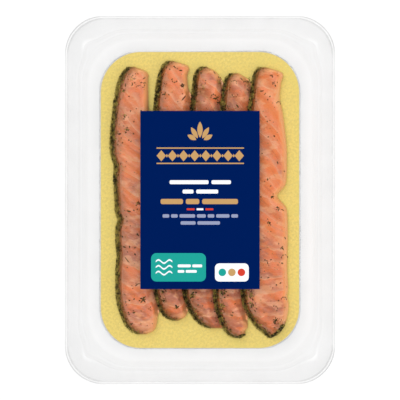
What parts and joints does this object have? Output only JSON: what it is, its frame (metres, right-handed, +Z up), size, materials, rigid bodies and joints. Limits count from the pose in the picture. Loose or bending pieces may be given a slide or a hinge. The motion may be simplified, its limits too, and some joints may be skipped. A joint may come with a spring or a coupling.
{
  "type": "pack of smoked salmon",
  "caption": "Flat rounded tray of clear plastic with overlapping thick strips of smoked salmon, dark herb crust on their edges, on a gold board under a sealed clear film with a blue label.",
  "frame": {"origin": "middle of the tray's foot, on the surface that the pack lies on", "axes": "+X to the right of the label, +Y towards the label's top, +Z up, out of the film"},
  "size_m": [0.15, 0.2044, 0.0177],
  "materials": {
    "clear_tray": "clear formed sheet, glossy",
    "clear_film": "clear film, glossy",
    "gold_board": "gold-coloured board with a fine grain",
    "salmon": "moist smoked fish with pale lines between the flakes",
    "dill": "dried herb, dark olive green",
    "label_print": "dark blue print, satin",
    "label_gold": "gold print",
    "label_pale": "white print",
    "label_teal": "teal print",
    "label_accent": "small coloured print"
  },
  "bodies": {
    "root": {"tray": "clear_tray", "card": "gold_board", "slice_1": "salmon", "slice_2": "salmon", "slice_3": "salmon", "slice_4": "salmon", "slice_5": "salmon", "film": "clear_film", "label": "label_print"}
  },
  "joints": []
}
